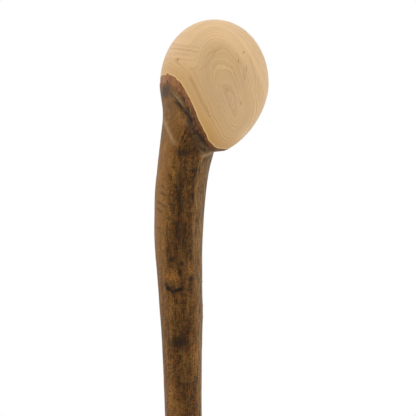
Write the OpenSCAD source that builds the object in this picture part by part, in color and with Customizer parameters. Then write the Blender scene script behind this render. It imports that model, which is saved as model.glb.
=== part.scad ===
// Knob walking cane: a natural stick whose root end is carved into a bare wooden knob.
// The bark stays on the shank, and a rubber ferrule grips the pared foot.
// Millimetres. +Z is up, +X is the side that the knob leans to, and the origin is the
// centre of the ground face under the ferrule.

/* [Stick] */
// Overall length, from the ground to the top of the knob
stick_len = 915; // [780:5:1050]
// Diameter over the bark just under the knob
neck_d = 30.6; // [27:0.1:33]
// Diameter over the bark where the swelling above the shank ends
waist_d = 20.9; // [20:0.1:24]
// Length of the swelling between the waist and the knob
swell_len = 145; // [120:1:180]
// How far the shank bends away from the axis of its foot
bend = 5.4; // [0:0.1:9]

/* [Knob] */
// Diameter of the carved knob
knob_d = 60.8; // [52:0.1:66]
// Height of the knob, from its chin to its top
knob_h = 73.6; // [66:0.1:82]
// Height of the knob above its widest level
knob_up = 36; // [32:0.1:40]
// Sideways distance from the foot's axis to the knob's axis
knob_off = 14.8; // [11:0.1:18]
// How far the bark climbs the back of the knob, above its chin
bark_climb = 42.2; // [34:0.1:48]

/* [Bark] */
// Thickness of the outer bark
outer_bark_t = 0.7; // [0.5:0.05:1.1]
// Thickness of the inner bark
inner_bark_t = 0.6; // [0.5:0.05:1]
// Height of the inner bark that the carving lays bare below the knob
bare_band = 5; // [3.5:0.1:6.5]
// Length over which the carving thins the bark to nothing
feather_len = 3; // [2:0.1:5]

/* [Foot] */
// Diameter of the pared foot that the ferrule grips
spigot_d = 16; // [15:0.1:16.4]
// Width of the wooden shoulder left where the foot is pared down
shoulder_w = 0.3; // [0.1:0.1:1]
// Chamfer round the end of the pared foot
foot_chamfer = 1; // [0.4:0.1:2]

/* [Ferrule] */
// Radial clearance of the ferrule's bore on the foot
bore_gap = 0.05; // [0.03:0.01:0.1]
// Height of the ferrule
ferrule_h = 40; // [36:0.5:46]
// Thickness of the rubber under the washer
sole_t = 7; // [6:0.5:9]
// Wall of the ferrule's barrel
barrel_wall = 3.2; // [2.5:0.1:4]
// Diameter of the ferrule's base
base_d = 32; // [28:0.5:36]
// Height of the upright rim round the base
rim_h = 6; // [4:0.5:8]
// Thickness of the steel washer
washer_t = 1.6; // [1.2:0.1:2]
// Diameter of the steel washer
washer_d = 18.8; // [17.4:0.1:20]
// Hole through the steel washer, filled by the rubber
washer_hole_d = 6.4; // [4:0.2:9]
// Depth of the grooves in the tread
groove_depth = 1.2; // [0.8:0.1:2]
// Width of each groove in the tread
groove_w = 1.6; // [1:0.1:2.2]
// Gap between the ferrule's lip and the bark
lip_gap = 0.3; // [0.2:0.1:1]

/* [Hidden] */
$fn = 96;

// Levels up the stick
foot_z = ferrule_h + lip_gap;
chin_z = stick_len - knob_h;
widest_z = stick_len - knob_up;
waist_z = chin_z - swell_len;
washer_z = sole_t;
spigot_z = washer_z + washer_t;

// The shank at the foot is the pared spigot, its shoulder and the bark
bark_t = outer_bark_t + inner_bark_t;
foot_d = spigot_d + 2 * (shoulder_w + bark_t);

// The lower half of the knob narrows to a blunt chin, whose tip the bark cuts off
knob_low = (knob_h - knob_up) * 1.043;
chin_power = 1.8;
chin_round = 0.64;
chin_lip = 0.5;

// The crown is a little fuller than a half ellipse
crown_power = 2.05;
crown_round = 0.49;

// Bark edge round the knob: a smooth fall from the back of the knob to its chin
edge_low = chin_z + 1.2;
edge_high = chin_z + bark_climb;
edge_from = knob_off - 0.85 * knob_d / 2;
edge_to = knob_off + 0.07 * knob_d / 2;
edge_skew = 0.05;

// Faces round the stick, and rings in each stretch of it
sides = 30;
neck_rings = 4;
lap_rings = 12;
band_rings = 2;
knob_rings = 17;
neck_len = 10;
turns = [for (i = [0 : sides - 1]) 360 * i / sides];

// Out-of-round of the shank, as shares of its radius, and the length it fades over at the foot
two_lobes = 0.016;
three_lobes = 0.010;
round_len = 60;

// Smooth blend between the shank and the knob: higher is a tighter crease
blend_power = 14;

// Shank stations: [height, bend along x, bend along y, diameter over the bark]
function up_swell(share) = chin_z - swell_len * share;
function up_shank(share) = foot_z + (waist_z - foot_z) * share;
function up_knob(share) = chin_z + (widest_z - chin_z) * share;
function swell_d(share) = waist_d + (neck_d - waist_d) * share;
function shank_d(share) = foot_d + (waist_d - foot_d) * share;
function root_d(share) = neck_d + (knob_d - neck_d) * share;
stations = [
    [foot_z,          0,             0,             foot_d],
    [up_shank(0.06),  0.02 * bend,   0.02 * bend,   shank_d(0.04)],
    [up_shank(0.20),  0.25 * bend,   0.28 * bend,   shank_d(0.15)],
    [up_shank(0.45),  0.55 * bend,  -0.20 * bend,   shank_d(0.40)],
    [up_shank(0.72),  0.35 * bend,  -0.55 * bend,   shank_d(0.70)],
    [waist_z,        -0.50 * bend,  -0.25 * bend,   waist_d],
    [up_swell(0.72), -0.65 * bend,   0,             swell_d(0.20)],
    [up_swell(0.55), -0.80 * bend,   0.12 * bend,   swell_d(0.38)],
    [up_swell(0.36), -bend,          0.18 * bend,   swell_d(0.61)],
    [up_swell(0.17), -0.82 * bend,   0.10 * bend,   swell_d(0.78)],
    [up_swell(0.07), -0.52 * bend,   0.04 * bend,   swell_d(0.86)],
    [chin_z,         -0.16 * bend,   0,             neck_d],
    [up_knob(0.27),   0.04 * knob_off, 0,           root_d(0.02)],
    [up_knob(0.53),   0.19 * knob_off, 0,           root_d(0.09)],
    [up_knob(0.80),   0.38 * knob_off, 0,           root_d(0.18)],
    [up_knob(1.10),   0.60 * knob_off, 0,           root_d(0.30)]
];

// Knots left by trimmed side shoots, from the foot up:
// [height, angle, rise, half length, half width in degrees]
knots = [
    [up_shank(0.08), 265, 0.8,  7, 38],
    [up_shank(0.19), 150, 1.0,  8, 40],
    [up_shank(0.34), 340, 1.2,  9, 42],
    [up_shank(0.50), 215, 1.1,  8, 40],
    [up_shank(0.66),  75, 1.3,  9, 42],
    [up_shank(0.83), 290, 1.2,  9, 40],
    [up_swell(0.80), 120, 1.1,  8, 36],
    [up_swell(0.62), 352, 0.5,  7, 30],
    [up_swell(0.46), 258, 1.0,  9, 34]
];

function clamp01(t) = min(1, max(0, t));
function ease(t) = let (u = clamp01(t)) u * u * (3 - 2 * u);

// Smooth curve through column k of the stations, at height z
function station_slope(i, k) =
    let (a = max(0, i - 1), b = min(len(stations) - 1, i + 1))
    (stations[b][k] - stations[a][k]) / (stations[b][0] - stations[a][0]);
function station_below(z, i = 0) =
    (i >= len(stations) - 2 || z < stations[i + 1][0]) ? i : station_below(z, i + 1);
function along(z, k) =
    let (
        i = station_below(z),
        h = stations[i + 1][0] - stations[i][0],
        t = clamp01((z - stations[i][0]) / h),
        p = stations[i][k],
        q = stations[i + 1][k],
        m = station_slope(i, k) * h,
        n = station_slope(i + 1, k) * h
    )
    p + m * t + (3 * (q - p) - 2 * m - n) * t * t + (2 * (p - q) + m + n) * t * t * t;

// Radius of the knob at height z, or 0 below its chin
function knob_r(z) =
    let (up = (z - widest_z) / knob_up, down = (widest_z - z) / knob_low)
    z < chin_z - 0.001 || z > stick_len ? 0
    : z >= widest_z ? knob_d / 2 * pow(max(0, 1 - pow(up, crown_power)), crown_round)
    : knob_d / 2 * pow(max(0, 1 - pow(down, chin_power)), chin_round);

// The point that each level's section is drawn round: from the shank's line to the knob's axis
function heart(z) =
    let (t = ease((z - chin_z) / (widest_z - chin_z)))
    [along(z, 1) * (1 - t) + knob_off * t, along(z, 2) * (1 - t)];

// Distance from the heart, in direction a, to the far side of a circle whose centre is at c
function reach(a, c, r) =
    let (ahead = c[0] * cos(a) + c[1] * sin(a), aside = c[1] * cos(a) - c[0] * sin(a))
    ahead + sqrt(max(0, r * r - aside * aside));

function blend_max(a, b) =
    b <= 0 ? a : a * pow(1 + pow(b / a, blend_power), 1 / blend_power);

function angle_gap(a, b) = let (d = (a - b + 540) % 360 - 180) d;
function knot_rise(a, z) =
    [for (k = knots) k[2]]
    * [for (k = knots) exp(-pow((z - k[0]) / k[3], 2) - pow(angle_gap(a, k[1]) / k[4], 2))];

// Outer skin of the whole stick: its distance from the heart, and the point itself
function lobes(a, z) =
    1 + ease((z - foot_z) / round_len) * (two_lobes * cos(2 * a + z / 3) + three_lobes * cos(3 * a - z / 2));
function shank_reach(a, z) =
    let (c = heart(z))
    reach(a, [along(z, 1) - c[0], along(z, 2) - c[1]], along(z, 3) / 2) * lobes(a, z)
    + knot_rise(a, z);
function skin_r(a, z) =
    let (c = heart(z), r = knob_r(z), own = z < widest_z ? shank_reach(a, z) : 0)
    z >= widest_z ? reach(a, [knob_off - c[0], -c[1]], r)
    : blend_max(own, r > 0 ? reach(a, [knob_off - c[0], -c[1]], r) : 0);
function skin_point(a, z, depth = 0) =
    let (c = heart(z), r = skin_r(a, z) - depth)
    [c[0] + r * cos(a), c[1] + r * sin(a), z];

// Height of the carved edge over a point, for the inner bark and for the outer bark
function edge_over(p, drop) =
    edge_low - 0.1 * drop
    + (edge_high - 0.9 * drop - edge_low)
    * (1 - ease((p[0] + edge_skew * p[1] + 0.15 * drop - edge_from) / (edge_to - edge_from)));

// Where that edge crosses the skin in direction a, by halving
function edge_at(a, drop, low = chin_z, high = stick_len, steps = 14) =
    let (mid = (low + high) / 2)
    steps == 0 ? mid
    : edge_over(skin_point(a, mid), drop) > mid ? edge_at(a, drop, mid, high, steps - 1)
    : edge_at(a, drop, low, mid, steps - 1);
inner_edge = [for (a = turns) edge_at(a, 0)];
outer_edge = [for (a = turns) edge_at(a, bare_band)];

// Depths of the two layers' undersides, thinned to nothing where the carving cuts them
function timber_depth(i, z) = bark_t * clamp01((inner_edge[i] - z) / feather_len);
function inner_depth(i, z) = outer_bark_t * clamp01((outer_edge[i] - z) / feather_len);

// Levels shared by every layer, from the foot to the chin: each knot has one at its crest and
// one at each of its ends, and there are one or two between it and the next
last_knot = len(knots) - 1;
function knot_top(i) = knots[i][0] + knots[i][3];
function knot_foot(i) = i > last_knot ? chin_z - neck_len : knots[i][0] - knots[i][3];
function between(i) = let (gap = knot_foot(i + 1) - knot_top(i)) gap > 24 ? [1 / 3, 2 / 3] : [1 / 2];
shared_levels = concat(
    [foot_z, (foot_z + knot_foot(0)) / 2],
    [for (i = [0 : last_knot]) each concat(
        [knot_foot(i), knots[i][0], knot_top(i)],
        [for (share = between(i)) knot_top(i) + (knot_foot(i + 1) - knot_top(i)) * share]
    )],
    [for (j = [0 : neck_rings - 1]) chin_z - neck_len + (neck_len - chin_lip) * j / (neck_rings - 1)]
);

function ring_on_timber(level) =
    [for (i = [0 : sides - 1]) skin_point(turns[i], level, timber_depth(i, level))];
function ring_on_inner(level) =
    [for (i = [0 : sides - 1]) skin_point(turns[i], level, inner_depth(i, level))];
function ring_on_skin(level) = [for (a = turns) skin_point(a, level)];

// Rings that rise from the chin to an edge, each direction at its own height
function lap_z(i, edge, share) = chin_z + (edge[i] - chin_z) * share;
timber_lap = [for (j = [0 : lap_rings]) [for (i = [0 : sides - 1])
    let (z = lap_z(i, inner_edge, j / lap_rings)) skin_point(turns[i], z, timber_depth(i, z))]];
inner_lap = [for (j = [0 : lap_rings]) [for (i = [0 : sides - 1])
    let (z = lap_z(i, outer_edge, j / lap_rings)) skin_point(turns[i], z, inner_depth(i, z))]];
outer_lap = [for (j = [0 : lap_rings]) [for (i = [0 : sides - 1])
    skin_point(turns[i], lap_z(i, outer_edge, j / lap_rings))]];
band_lap = [for (j = [1 : band_rings - 1]) [for (i = [0 : sides - 1])
    skin_point(turns[i], outer_edge[i] + (inner_edge[i] - outer_edge[i]) * j / band_rings)]];
knob_lap = [for (j = [1 : knob_rings - 1]) [for (i = [0 : sides - 1])
    skin_point(turns[i], inner_edge[i] + (stick_len - inner_edge[i]) * sin(90 * j / knob_rings))]];

timber_face = concat([for (z = shared_levels) ring_on_timber(z)], timber_lap);
inner_face = concat([for (z = shared_levels) ring_on_inner(z)], inner_lap);
outer_face = concat([for (z = shared_levels) ring_on_skin(z)], outer_lap);

function reversed(list) = [for (j = [len(list) - 1 : -1 : 0]) list[j]];
function flat(list) = [for (ring = list) each ring];

// Two triangles between rings j and k. Their diagonal is the same seen from either side
function corner(j, i) = j * sides + i % sides;
function band_faces(j, k, rising) = [for (i = [0 : sides - 1])
    let (a = corner(j, i), b = corner(j, i + 1), c = corner(k, i), d = corner(k, i + 1))
    each (rising ? [[a, c, d], [a, d, b]] : [[a, c, b], [c, d, b]])];

// Solid with a flat foot and a closed crown
module closed_stack(rings, crown) {
    top = len(rings) - 1;
    faces = concat(
        [[for (i = [0 : sides - 1]) i]],
        [for (j = [0 : top - 1]) each band_faces(j, j + 1, true)],
        [for (i = [0 : sides - 1]) [corner(top, i), corner(top + 1, 0), corner(top, i + 1)]]
    );
    polyhedron(points = concat(flat(rings), [crown]), faces = faces, convexity = 4);
}

// Sleeve between an inner face and an outer face that meet in one knife edge at the top
module sleeve(inner, outer) {
    rings = concat(outer, reversed([for (j = [0 : len(inner) - 2]) inner[j]]));
    count = len(rings);
    faces = [for (j = [0 : count - 1]) each band_faces(j, (j + 1) % count, j < len(outer) - 1)];
    polyhedron(points = flat(rings), faces = faces, convexity = 6);
}

module stick_timber() {
    color("burlywood") {
        closed_stack(concat(timber_face, knob_lap), [knob_off, 0, stick_len]);
        translate([0, 0, spigot_z + foot_chamfer]) cylinder(d = spigot_d, h = foot_z - spigot_z - foot_chamfer);
        translate([0, 0, spigot_z])
            cylinder(d1 = spigot_d - 2 * foot_chamfer, d2 = spigot_d, h = foot_chamfer);
    }
}

module inner_bark() {
    color("sienna") sleeve(timber_face, concat(inner_face, band_lap, [timber_face[len(timber_face) - 1]]));
}

module outer_bark() {
    color("saddlebrown") sleeve(inner_face, outer_face);
}

// Steel washer, moulded into the rubber under the foot
module washer_ring() {
    translate([0, 0, washer_z]) difference() {
        cylinder(d = washer_d, h = washer_t);
        translate([0, 0, -1]) cylinder(d = washer_hole_d, h = washer_t + 2);
    }
}

// Ferrule: a flared rubber cup with a ribbed barrel, a rounded lip and a grooved tread
bore_d = spigot_d + 2 * bore_gap;
barrel_r = bore_d / 2 + barrel_wall;
base_r = base_d / 2;
base_edge_r = 1.2;
rim_set_in = 0.8;
flare_h = 9;
flare_steps = 8;
lip_r = 1.9;
lip_rise = 0.7;
ribs = 3;
rib_w = 1.4;
rib_rise = 0.5;
rib_step = 4;
rib_top = 9.6;
tread_pad_r = 3;
tread_grooves = 3;
tread_margin = 1;

module ferrule_outline() {
    polygon(concat(
        [[0, 0]],
        [for (t = [0 : 22.5 : 90]) [base_r - base_edge_r * (1 - sin(t)), base_edge_r * (1 - cos(t))]],
        [[base_r, rim_h]],
        [for (j = [1 : flare_steps]) let (t = 90 * j / flare_steps)
            [barrel_r + (base_r - rim_set_in - barrel_r) * (1 - sin(t)), rim_h + flare_h * (1 - cos(t))]],
        [for (t = [-60 : 25 : 90])
            [barrel_r + lip_rise - lip_r * (1 - cos(t)), ferrule_h - lip_r * (1 - sin(t))]],
        [[0, ferrule_h]]
    ));
}

module tread_groove(inner_r) {
    translate([0, 0, -1]) difference() {
        cylinder(r = inner_r + groove_w, h = groove_depth + 1);
        translate([0, 0, -1]) cylinder(r = inner_r, h = groove_depth + 3);
    }
}

module rubber_ferrule() {
    tread_step = (base_r - tread_pad_r - tread_margin) / tread_grooves;
    color("dimgray") difference() {
        union() {
            rotate_extrude() ferrule_outline();
            for (j = [1 : ribs])
                translate([0, 0, ferrule_h - rib_top + rib_step - rib_step * j - rib_w])
                    cylinder(r = barrel_r + rib_rise, h = rib_w);
        }
        translate([0, 0, spigot_z]) cylinder(d = bore_d, h = ferrule_h);
        washer_ring();
        for (j = [0 : tread_grooves - 1]) tread_groove(tread_pad_r + tread_step * j);
    }
}

module steel_washer() {
    color("silver") washer_ring();
}

stick_timber();
inner_bark();
outer_bark();
rubber_ferrule();
steel_washer();
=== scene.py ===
import math

import bpy
import numpy as np
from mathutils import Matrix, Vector


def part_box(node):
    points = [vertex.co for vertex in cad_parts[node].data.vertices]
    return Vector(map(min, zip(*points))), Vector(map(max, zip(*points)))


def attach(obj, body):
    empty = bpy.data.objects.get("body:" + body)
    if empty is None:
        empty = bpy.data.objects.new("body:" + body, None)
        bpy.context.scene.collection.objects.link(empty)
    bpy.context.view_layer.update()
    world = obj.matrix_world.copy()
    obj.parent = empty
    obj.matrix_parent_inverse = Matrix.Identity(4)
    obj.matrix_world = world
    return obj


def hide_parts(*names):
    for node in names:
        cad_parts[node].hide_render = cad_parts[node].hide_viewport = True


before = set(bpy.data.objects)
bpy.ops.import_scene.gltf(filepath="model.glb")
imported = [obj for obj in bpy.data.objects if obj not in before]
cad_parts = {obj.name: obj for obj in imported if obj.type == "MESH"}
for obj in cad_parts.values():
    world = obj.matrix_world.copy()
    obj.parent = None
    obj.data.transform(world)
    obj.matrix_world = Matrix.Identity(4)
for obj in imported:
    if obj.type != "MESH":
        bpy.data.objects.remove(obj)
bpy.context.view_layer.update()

# Shapes are worked out in millimetres and become metres as each mesh is made
MM = 0.001


def node_span(node, axis):
    """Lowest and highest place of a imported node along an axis, in millimetres."""
    low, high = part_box(node)
    return low[axis] / MM, high[axis] / MM


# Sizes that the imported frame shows
spigot_bottom, stick_top = node_span("stick_timber", 2)
foot_z = node_span("outer_bark", 2)[0]
ferrule_top = node_span("rubber_ferrule", 2)[1]
base_r = node_span("rubber_ferrule", 0)[1]
washer_bottom = node_span("steel_washer", 2)[0]
washer_r = node_span("steel_washer", 0)[1]

# Other sizes of the stick
knob_h = 73.6
knob_d = 60.8
knob_up = 36.0
knob_off = 14.8
bark_climb = 42.2
swell_len = 145.0
neck_d = 30.6
waist_d = 20.9
spigot_d = 16.0
shoulder_w = 0.3
foot_chamfer = 1.0
outer_bark_t = 0.7
inner_bark_t = 0.6
bark_t = outer_bark_t + inner_bark_t
foot_d = spigot_d + 2 * (shoulder_w + bark_t)
bend = 5.4
bare_band = 5.0
feather_len = 3.0
chin_lip = 0.5

chin_z = stick_top - knob_h
widest_z = stick_top - knob_up
waist_z = chin_z - swell_len
chin_stretch = 1.043
knob_low = (knob_h - knob_up) * chin_stretch
edge_low = chin_z + 1.2
edge_high = chin_z + bark_climb
edge_from = knob_off - 0.85 * knob_d / 2
edge_to = knob_off + 0.07 * knob_d / 2
edge_skew = 0.05
edge_shift = 0.15

# Height from which the bark's rings lie closer, a little below the photographed part
close_up = 640.0

# How far the two torn edges wander, and the side where they are torn most, in degrees
wood_torn = 1.0
bark_torn = 2.2
torn_side = 190
torn_width = 48

# Sizes of the ferrule and its washer
bore_r = spigot_d / 2 + 0.05
barrel_r = bore_r + 3.2
rim_h = 6.0
rim_edge_r = 1.2
rim_set_in = 0.8
flare_h = 9.0
lip_r = 1.9
lip_rise = 0.7
bore_edge = 0.25
fine_edge = 0.15
tread_pad_r = 3.0
tread_margin = 1.0
tread_grooves = 3
groove_w = 1.6
groove_depth = 1.2
groove_draft = 0.1
rib_count = 3
rib_step = 4.0
rib_top = 9.6
rib_rise = 0.5
rib_half_w = 0.7
rib_sunk = 0.4
washer_t = 1.6
washer_hole_r = 3.2

# The photographed view: millimetres a pixel, and the pixels of the foot's axis and the stick's top
PIXEL = 0.56
AXIS_PX = 188.0
TOP_PX = 19.5
FRAME_PX = 416


def px_x(px):
    return (px - AXIS_PX) * PIXEL


def px_z(px):
    return stick_top - (px - TOP_PX) * PIXEL


def up_swell(share):
    return chin_z - swell_len * share


def up_shank(share):
    return foot_z + (waist_z - foot_z) * share


def up_knob(share):
    return chin_z + (widest_z - chin_z) * share


def swell_d(share):
    return waist_d + (neck_d - waist_d) * share


def shank_d(share):
    return foot_d + (waist_d - foot_d) * share


def root_d(share):
    return neck_d + (knob_d - neck_d) * share


# Stations up the stick: height, bend along x, bend along y, diameter over the bark
STATIONS = np.array([
    (foot_z, 0, 0, foot_d),
    (up_shank(0.06), 0.02 * bend, 0.02 * bend, shank_d(0.04)),
    (up_shank(0.20), 0.25 * bend, 0.28 * bend, shank_d(0.15)),
    (up_shank(0.45), 0.55 * bend, -0.20 * bend, shank_d(0.40)),
    (up_shank(0.72), 0.35 * bend, -0.55 * bend, shank_d(0.70)),
    (waist_z, -0.50 * bend, -0.25 * bend, waist_d),
    (up_swell(0.72), -0.65 * bend, 0, swell_d(0.20)),
    (up_swell(0.55), -0.80 * bend, 0.12 * bend, swell_d(0.38)),
    (up_swell(0.36), -bend, 0.18 * bend, swell_d(0.61)),
    (up_swell(0.17), -0.82 * bend, 0.10 * bend, swell_d(0.78)),
    (up_swell(0.07), -0.52 * bend, 0.04 * bend, swell_d(0.86)),
    (chin_z, -0.16 * bend, 0, neck_d),
    (up_knob(0.27), 0.04 * knob_off, 0, root_d(0.02)),
    (up_knob(0.53), 0.19 * knob_off, 0, root_d(0.09)),
    (up_knob(0.80), 0.38 * knob_off, 0, root_d(0.18)),
    (up_knob(1.10), 0.60 * knob_off, 0, root_d(0.30)),
])

# Knots of trimmed side shoots: height, angle, rise, half length, half width in degrees
KNOTS = [
    (up_shank(0.08), 265, 0.8, 7, 38),
    (up_shank(0.19), 150, 1.0, 8, 40),
    (up_shank(0.34), 340, 1.2, 9, 42),
    (up_shank(0.50), 215, 1.1, 8, 40),
    (up_shank(0.66), 75, 1.3, 9, 42),
    (up_shank(0.83), 290, 1.2, 9, 40),
    (up_swell(0.80), 120, 1.1, 8, 36),
    (up_swell(0.62), 352, 0.5, 7, 30),
    (up_swell(0.46), 258, 1.0, 9, 34),
]


def ease(t):
    t = np.clip(t, 0, 1)
    return t * t * (3 - 2 * t)


def soft_max(a, b, width):
    return (a + b + np.sqrt((a - b) ** 2 + width ** 2)) / 2


def soft_min(a, b, width):
    return -soft_max(-a, -b, width)


def along(z, column):
    """Smooth curve through one column of the stations."""
    heights, values = STATIONS[:, 0], STATIONS[:, column]
    slopes = np.empty(len(values))
    slopes[1:-1] = (values[2:] - values[:-2]) / (heights[2:] - heights[:-2])
    slopes[0] = (values[1] - values[0]) / (heights[1] - heights[0])
    slopes[-1] = (values[-1] - values[-2]) / (heights[-1] - heights[-2])
    i = np.clip(np.searchsorted(heights, z, side="right") - 1, 0, len(heights) - 2)
    run = heights[i + 1] - heights[i]
    t = np.clip((z - heights[i]) / run, 0, 1)
    p, q = values[i], values[i + 1]
    m, n = slopes[i] * run, slopes[i + 1] * run
    return p + m * t + (3 * (q - p) - 2 * m - n) * t ** 2 + (2 * (p - q) + m + n) * t ** 3


def knob_r(z):
    up = np.clip((z - widest_z) / knob_up, 0, 1)
    down = np.clip((widest_z - z) / knob_low, 0, 1)
    crown = np.clip(1 - up ** 2.05, 0, None) ** 0.49
    chin = np.clip(1 - down ** 1.8, 0, None) ** 0.64
    r = knob_d / 2 * np.where(z >= widest_z, crown, chin)
    return np.where((z < chin_z - 0.001) | (z > stick_top), 0, r)


def heart(z):
    """The point that each level's section is drawn round."""
    t = ease((z - chin_z) / (widest_z - chin_z))
    return along(z, 1) * (1 - t) + knob_off * t, along(z, 2) * (1 - t)


def reach(angle, cx, cy, r):
    ahead = cx * np.cos(angle) + cy * np.sin(angle)
    aside = cy * np.cos(angle) - cx * np.sin(angle)
    return ahead + np.sqrt(np.clip(r * r - aside * aside, 0, None))


def angle_gap(degrees, centre):
    return (degrees - centre + 540) % 360 - 180


def knot_gap(degrees, z, knot, tall=1.0, wide=1.0):
    """Squared distance from a knot's middle, in its half sizes times tall and wide."""
    height, side, _, half_len, half_width = knot
    across = angle_gap(degrees, side) / (wide * half_width)
    return ((z - height) / (tall * half_len)) ** 2 + across ** 2


def skin_r(angle, z):
    """Distance from the heart to the outer skin, at an angle in radians and a height."""
    cx, cy = heart(z)
    degrees = np.degrees(angle)
    two_lobes = 0.016 * np.cos(2 * angle + np.radians(z / 3))
    three_lobes = 0.010 * np.cos(3 * angle - np.radians(z / 2))
    lobes = 1 + ease((z - foot_z) / 60) * (two_lobes + three_lobes)
    shank = reach(angle, along(z, 1) - cx, along(z, 2) - cy, along(z, 3) / 2) * lobes
    for knot in KNOTS:
        shank = shank + knot[2] * np.exp(-knot_gap(degrees, z, knot))
    knob = np.where(knob_r(z) > 0, reach(angle, knob_off - cx, -cy, knob_r(z)), 0)
    low = shank * (1 + (np.clip(knob, 0, None) / shank) ** 14) ** (1 / 14)
    return np.where(z >= widest_z, knob, low)


def skin_point(angle, z, depth=0.0):
    cx, cy = heart(z)
    r = skin_r(angle, z) - depth
    return np.stack([cx + r * np.cos(angle), cy + r * np.sin(angle), z + 0 * angle], axis=-1)


def ragged(angle, size):
    """How far a torn bark edge wanders from the smooth cut, most at the back of the knob."""
    torn = np.exp(-(angle_gap(np.degrees(angle), torn_side) / torn_width) ** 2)
    fine = np.sin(angle * 31 + 1.0) + 0.8 * np.sin(angle * 53 + 2.0) + 0.6 * np.sin(angle * 87)
    slow = np.sin(angle * 9 + 0.4) + 0.5 * np.sin(angle * 17 + 1.9)
    return size * (0.12 * slow + torn * (0.35 * slow + 0.42 * fine))


def edge_height(angle, drop, torn):
    """Height at which a carved edge crosses the skin, found by halving."""
    low = np.full_like(angle, chin_z)
    high = np.full_like(angle, stick_top)
    for _ in range(18):
        mid = (low + high) / 2
        p = skin_point(angle, mid)
        across = p[..., 0] + edge_skew * p[..., 1] + edge_shift * drop
        fall = 1 - ease((across - edge_from) / (edge_to - edge_from))
        over = edge_low - 0.1 * drop + (edge_high - 0.9 * drop - edge_low) * fall > mid
        low = np.where(over, mid, low)
        high = np.where(over, high, mid)
    return (low + high) / 2 + ragged(angle, torn)


def turns(count):
    return np.arange(count) * 2 * math.pi / count


def levels(stops):
    """Heights from one stop to the next, each stretch at its own spacing."""
    rows = [np.arange(a, b - 0.3 * step, step) for (a, step), (b, _) in zip(stops, stops[1:])]
    return np.concatenate(rows + [[stops[-1][0]]])


def lap_heights(edge, rows):
    """Rows of heights that rise from the level of the chin to a carved edge."""
    return chin_z + (edge[None, :] - chin_z) * np.linspace(0, 1, rows)[:, None]


def distance_to_line(points, line):
    """Shortest distance from each point to a closed line of points."""
    flat = points.reshape(-1, 3)
    best = np.full(len(flat), 1e9)
    for start in range(0, len(line), 40):
        gaps = flat[:, None, :] - line[None, start:start + 40, :]
        best = np.minimum(best, np.sqrt((gaps ** 2).sum(-1)).min(1))
    return best.reshape(points.shape[:-1])


rim_turns = turns(720)
wood_edge_line = skin_point(rim_turns, edge_height(rim_turns, 0.0, wood_torn))
bark_edge_line = skin_point(rim_turns, edge_height(rim_turns, bare_band, bark_torn))


def linked(name, data):
    """A new object in the scene."""
    item = bpy.data.objects.new(name, data)
    bpy.context.scene.collection.objects.link(item)
    return item


def ring_mesh(name, rings, ends=None):
    """Mesh over a stack of rings, closed by a point at each end or else round on itself."""
    rows, count, _ = rings.shape
    points = rings.reshape(-1, 3)
    lower = np.arange(rows - 1 if ends else rows)
    upper = (lower + 1) % rows
    i = np.arange(count)
    n = (i + 1) % count
    corners = [lower[:, None] * count + i, lower[:, None] * count + n]
    corners += [upper[:, None] * count + n, upper[:, None] * count + i]
    faces = np.stack(corners, axis=-1).reshape(-1, 4).tolist()
    if ends:
        bottom, top, last = len(points), len(points) + 1, (rows - 1) * count
        points = np.vstack([points, *ends])
        faces += [[bottom, int(v), int(u)] for u, v in zip(i, n)]
        faces += [[top, last + int(u), last + int(v)] for u, v in zip(i, n)]
    mesh = bpy.data.meshes.new(name)
    mesh.from_pydata((points * MM).tolist(), [], faces)
    mesh.shade_smooth()
    mesh.update()
    return linked(name, mesh)


def keep(piece, name, values):
    """Stores one value or one vector for each point of a piece."""
    values = np.asarray(values, dtype=np.float32)
    vector = values.ndim > 1 and values.shape[-1] == 3
    field = piece.data.attributes.new(name, "FLOAT_VECTOR" if vector else "FLOAT", "POINT")
    flat = np.zeros(len(piece.data.vertices) * (3 if vector else 1), np.float32)
    flat[:values.size] = values.reshape(-1)
    field.data.foreach_set("vector" if vector else "value", flat)


def stick_place(angle, z):
    """Place on the unbent stick, so that a pattern on it follows the grain."""
    r = skin_r(angle, z)
    return np.stack([r * np.cos(angle), r * np.sin(angle), z + 0 * angle], axis=-1)


# Dark stains on the bark: pixel of the middle, half width and half height in millimetres, depth
STAINS = [
    (168, 250, 1.8, 1.4, 0.8),
    (172, 259, 2.8, 2.4, 0.9),
    (181.5, 263.5, 1.8, 2.0, 0.9),
    (180, 272, 1.4, 3.0, 0.85),
    (191, 279, 2.0, 2.4, 0.9),
    (169.5, 288, 2.4, 1.8, 1.0),
    (178, 290, 3.6, 1.3, 0.95),
    (189, 289.5, 2.4, 1.2, 0.8),
    (179, 342, 7.0, 4.6, 0.85),
    (185.5, 331, 4.5, 3.5, 0.7),
    (182, 374, 3.0, 1.4, 0.6),
    (184, 384, 5.5, 2.2, 0.7),
    (174.5, 396, 1.8, 4.0, 0.6),
    (180, 232, 6.0, 12.0, 0.6),
    (166, 92, 3.0, 4.2, 1.0),
    (183, 152, 5.5, 4.0, 0.75),
    (180, 180, 4.0, 10.0, 0.5),
    (181, 205, 4.0, 9.0, 0.5),
]

# Golden places where the bark is worn thin, in the same form as the stains
WORN = [
    (173.5, 276, 2.8, 4.6, 0.75),
    (170, 275, 5.0, 2.0, 0.5),
    (191, 268, 2.4, 3.2, 0.5),
    (174, 172, 2.4, 6.0, 0.5),
    (171, 395, 2.6, 7.0, 0.6),
    (194, 356, 2.0, 9.0, 0.5),
    (178, 116, 2.0, 4.0, 0.25),
]

# Flecks in the knob, in the same form as the stains
KNOB_FLECKS = [
    (178.0, 60.5, 0.45, 0.5, 0.7),
    (243.5, 53.5, 0.5, 0.9, 0.45),
    (238.0, 62.5, 0.35, 1.2, 0.4),
    (246.0, 70.0, 0.3, 2.4, 0.35),
    (240.5, 104.0, 0.4, 1.3, 0.3),
]

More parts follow.
